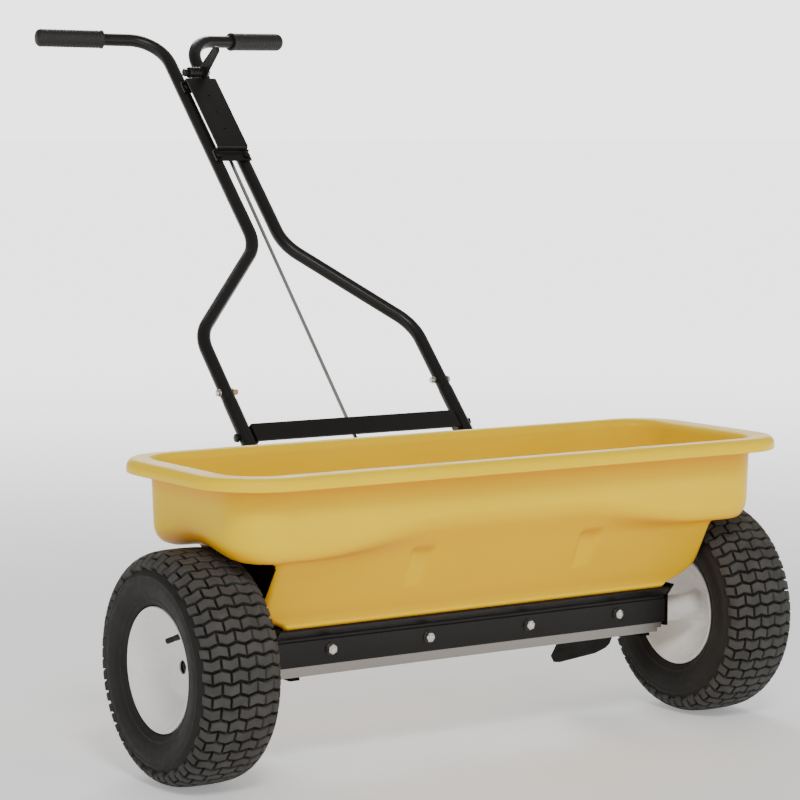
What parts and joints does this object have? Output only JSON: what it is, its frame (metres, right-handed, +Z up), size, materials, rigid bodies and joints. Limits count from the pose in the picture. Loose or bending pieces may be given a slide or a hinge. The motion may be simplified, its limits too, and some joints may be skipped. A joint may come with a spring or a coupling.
{
  "type": "drop spreader",
  "caption": "Walk-behind drop spreader: moulded trough hopper between two pneumatic wheels, an axle-driven agitator, and a handle lever that slides a shutter under the outlets.",
  "frame": {"origin": "on the ground, under the middle of the whole machine including the raked handle", "axes": "X runs along the wheel axle and +X is the driving wheel on the operator's right; +Y points backwards towards the operator and the handle; +Z is up. The hopper is the front of the machine, at -Y."},
  "size_m": [1.0418, 1.1046, 1.0686],
  "materials": {
    "hopper_plastic": "moulded polyethylene, satin",
    "black_steel": "gloss black powder coat",
    "stainless": "rolled stainless sheet",
    "zinc_plate": "bright zinc plate",
    "bare_steel": "bright drawn steel",
    "white_enamel": "off-white gloss enamel",
    "tyre_rubber": "black rubber with a chevron tread",
    "soft_rubber": "matt black rubber",
    "bronze": "sintered bronze"
  },
  "bodies": {
    "chassis": {"hopper": "hopper_plastic", "front_rail": "black_steel", "rear_rail": "black_steel", "rocker_bracket": "black_steel", "crossbar": "black_steel", "control_bracket": "black_steel", "lever_bolt": "black_steel", "end_plate_left": "black_steel", "end_plate_right": "black_steel", "shutter_guide_left": "black_steel", "shutter_guide_right": "black_steel", "stand_leg_left": "black_steel", "stand_leg_right": "black_steel", "lower_tube_left": "black_steel", "lower_tube_right": "black_steel", "upper_tube_left": "black_steel", "upper_tube_right": "black_steel", "crossbar_bolt_left": "black_steel", "crossbar_bolt_right": "black_steel", "crossbar_nut_left": "black_steel", "crossbar_nut_right": "black_steel", "bracket_bolt_lower_left": "black_steel", "bracket_bolt_lower_right": "black_steel", "bracket_bolt_upper_left": "black_steel", "bracket_bolt_upper_right": "black_steel", "bottom_plate": "stainless", "front_rail_bolt_1": "zinc_plate", "front_rail_bolt_2": "zinc_plate", "front_rail_bolt_3": "zinc_plate", "front_rail_bolt_4": "zinc_plate", "rear_rail_bolt_1": "zinc_plate", "rear_rail_bolt_2": "zinc_plate", "rear_rail_bolt_3": "zinc_plate", "rear_rail_bolt_4": "zinc_plate", "rocker_bolt": "zinc_plate", "lever_nut": "zinc_plate", "joint_bolt_left": "zinc_plate", "joint_bolt_right": "zinc_plate", "joint_nut_left": "zinc_plate", "joint_nut_right": "zinc_plate", "grip_left": "soft_rubber", "grip_right": "soft_rubber", "axle_bush_left": "bronze", "axle_bush_right": "bronze"},
    "drive_axle": {"axle": "bare_steel", "agitator": "bare_steel", "agitator_pin": "zinc_plate", "wheel_pin": "zinc_plate", "axle_end_ring": "bare_steel", "tyre_right": "tyre_rubber", "rim_right": "white_enamel", "valve_stem_right": "soft_rubber"},
    "left_wheel": {"tyre_left": "tyre_rubber", "rim_left": "white_enamel", "valve_stem_left": "soft_rubber"},
    "lever": {"control_lever": "black_steel"},
    "rod": {"control_rod": "bare_steel"},
    "rocker": {"rocker": "black_steel"},
    "shutter": {"shutter": "stainless"}
  },
  "joints": [
    {"name": "axle_spin", "type": "hinge", "parent": "chassis", "child": "drive_axle", "pos_m": [0, -0.3663, 0.165], "axis": [1, 0, 0], "continuous": true},
    {"name": "left_wheel_spin", "type": "hinge", "parent": "drive_axle", "child": "left_wheel", "pos_m": [0, -0.3663, 0.165], "axis": [1, 0, 0], "continuous": true},
    {"name": "lever_pivot", "type": "hinge", "parent": "chassis", "child": "lever", "pos_m": [0, 0.41518, 0.99721], "axis": [1, 0, 0], "range_deg": [-30, 30]},
    {"name": "rod_slide", "type": "slide", "parent": "chassis", "child": "rod", "axis": [0, 0.6718, 0.7407], "range_m": [-0.008, 0.008]},
    {"name": "rocker_pivot", "type": "hinge", "parent": "chassis", "child": "rocker", "pos_m": [0, -0.28612, 0.16588], "axis": [1, 0, 0], "range_deg": [-19, 19]},
    {"name": "shutter_slide", "type": "slide", "parent": "chassis", "child": "shutter", "axis": [0, 1, 0], "range_m": [-0.0087, 0.0087]}
  ],
  "couplings": [
    {"joint": "rod_slide", "follows": "lever_pivot", "m_per_rad": 0.015},
    {"joint": "rocker_pivot", "follows": "lever_pivot", "ratio": -0.625},
    {"joint": "shutter_slide", "follows": "lever_pivot", "m_per_rad": -0.016548}
  ]
}
